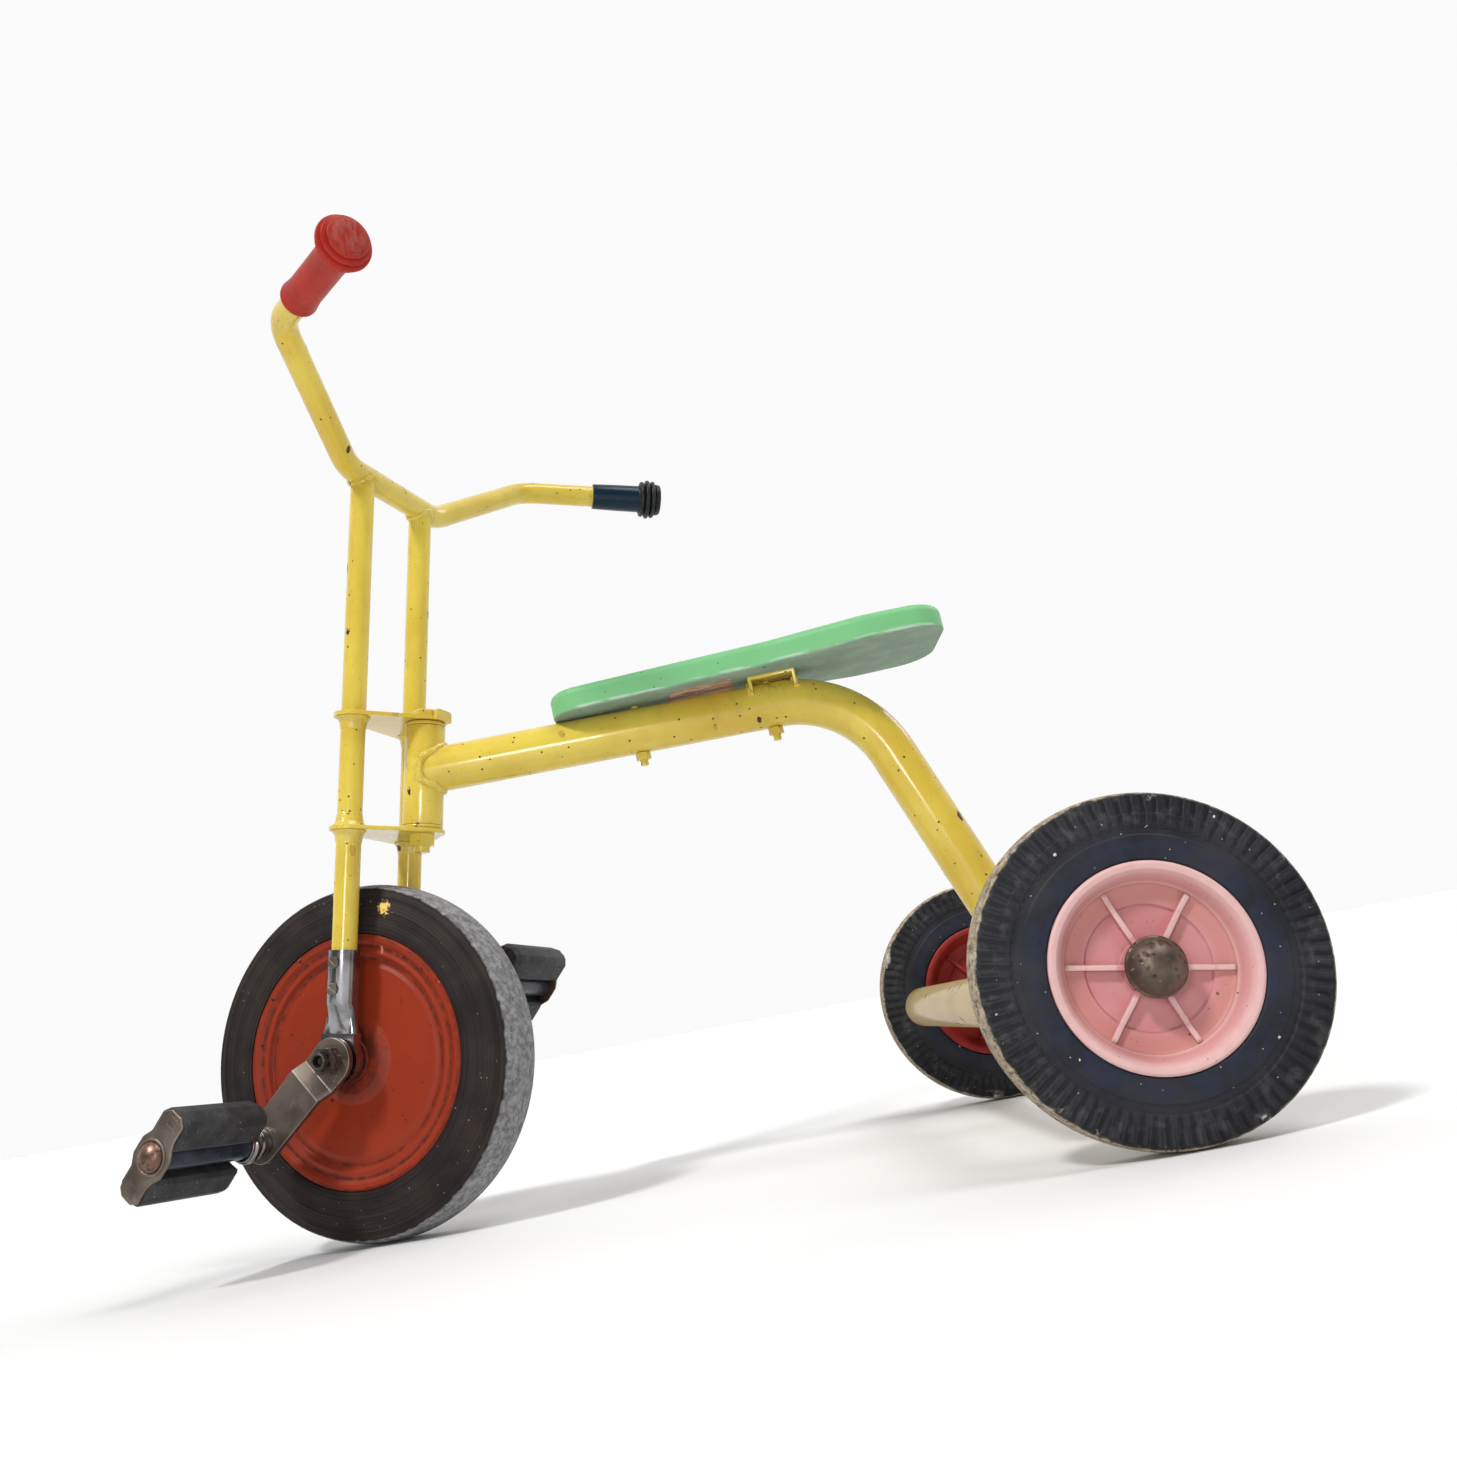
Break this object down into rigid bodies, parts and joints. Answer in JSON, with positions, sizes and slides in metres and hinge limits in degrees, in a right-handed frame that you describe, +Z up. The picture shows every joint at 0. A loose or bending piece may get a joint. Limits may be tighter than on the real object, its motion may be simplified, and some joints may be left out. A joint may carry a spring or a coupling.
{
  "type": "children's tricycle",
  "caption": "Child's steel tricycle with a bent main tube, raked twin-tube fork, direct pedals, wooden seat, step bar and solid tyres.",
  "frame": {"origin": "on the ground, under the middle of the tricycle's length and width", "axes": "+X forward, +Y to the rider's left, +Z up; the steering stands turned 19.7 degrees to the right at rest"},
  "size_m": [0.7285, 0.5608, 0.6457],
  "materials": {
    "yellow_paint": "thick brush-painted yellow enamel, chipped at the edges",
    "green_wood": "board painted light green, chipped to bare wood beneath",
    "red_grip": "worn dull red moulded plastic",
    "navy_grip": "glossy navy moulded plastic with black ribbed end",
    "chrome": "worn chrome plating",
    "bare_steel": "dull bare steel with light rust",
    "rusty_steel": "rusted domed steel",
    "red_disc": "scuffed red-orange enamel on pressed steel",
    "front_rubber": "solid rubber, smooth sidewall, grey scuffed tread",
    "rear_rubber": "solid rubber, block shoulder, dusty tread",
    "hub_plastic": "red moulded plastic faded pink on its outer face",
    "pedal_rubber": "black moulded rubber",
    "pedal_sleeve": "dark blue-black sleeve"
  },
  "bodies": {
    "frame": {"main_tube": "yellow_paint", "head_tube": "yellow_paint", "head_bush_top": "yellow_paint", "head_bush_bottom": "yellow_paint", "rear_axle_tube": "yellow_paint", "rear_axle_bushes": "bare_steel", "rear_axle_rod": "bare_steel", "rear_spacers": "bare_steel", "step_tube": "yellow_paint", "seat_board": "green_wood", "seat_bracket": "yellow_paint", "seat_bolts": "yellow_paint", "seat_nuts": "yellow_paint", "hub_cap_left": "rusty_steel", "hub_cap_right": "rusty_steel"},
    "fork": {"handlebar": "yellow_paint", "fork_tube_left": "yellow_paint", "fork_tube_right": "yellow_paint", "upper_yoke": "yellow_paint", "lower_yoke": "yellow_paint", "steering_bolt": "yellow_paint", "steering_nut": "yellow_paint", "grip_left": "red_grip", "grip_right": "navy_grip", "fork_end_left": "chrome", "fork_end_right": "chrome", "fork_screws": "chrome", "axle_bush_left": "bare_steel", "axle_bush_right": "bare_steel"},
    "front_wheel": {"front_axle": "bare_steel", "front_hub": "red_disc", "front_disc_left": "red_disc", "front_disc_right": "red_disc", "front_tyre": "front_rubber", "hub_washers": "bare_steel", "crank_left": "bare_steel", "crank_right": "bare_steel", "crank_nuts": "bare_steel", "pedal_spindle_left": "chrome", "pedal_spindle_right": "chrome"},
    "pedal_left": {"pedal_cup_left": "chrome", "pedal_sleeve_left": "pedal_sleeve", "pedal_blocks_left": "pedal_rubber", "pedal_plate_left": "bare_steel", "pedal_cap_left": "rusty_steel"},
    "pedal_right": {"pedal_cup_right": "chrome", "pedal_sleeve_right": "pedal_sleeve", "pedal_blocks_right": "pedal_rubber", "pedal_plate_right": "bare_steel", "pedal_cap_right": "rusty_steel"},
    "rear_wheel_left": {"rear_hub_left": "hub_plastic", "rear_tyre_left": "rear_rubber"},
    "rear_wheel_right": {"rear_hub_right": "hub_plastic", "rear_tyre_right": "rear_rubber"}
  },
  "joints": [
    {"name": "steering", "type": "hinge", "parent": "frame", "child": "fork", "pos_m": [0.1981, 0, 0.095], "axis": [-0.1702, 0, 0.9854], "range_deg": [-40, 80]},
    {"name": "front_wheel_spin", "type": "hinge", "parent": "fork", "child": "front_wheel", "pos_m": [0.22836, -0.01274, 0.12889], "axis": [0.3322, 0.9415, 0.0574], "continuous": true},
    {"name": "pedal_left_spin", "type": "hinge", "parent": "front_wheel", "child": "pedal_left", "pos_m": [0.32183, 0.07405, 0.08772], "axis": [0.3322, 0.9415, 0.0574], "continuous": true},
    {"name": "pedal_right_spin", "type": "hinge", "parent": "front_wheel", "child": "pedal_right", "pos_m": [0.1349, -0.09954, 0.17006], "axis": [0.3322, 0.9415, 0.0574], "continuous": true},
    {"name": "rear_wheel_left_spin", "type": "hinge", "parent": "frame", "child": "rear_wheel_left", "pos_m": [-0.2669, 0.251, 0.095], "axis": [0, 1, 0], "continuous": true},
    {"name": "rear_wheel_right_spin", "type": "hinge", "parent": "frame", "child": "rear_wheel_right", "pos_m": [-0.2669, -0.251, 0.095], "axis": [0, 1, 0], "continuous": true}
  ]
}
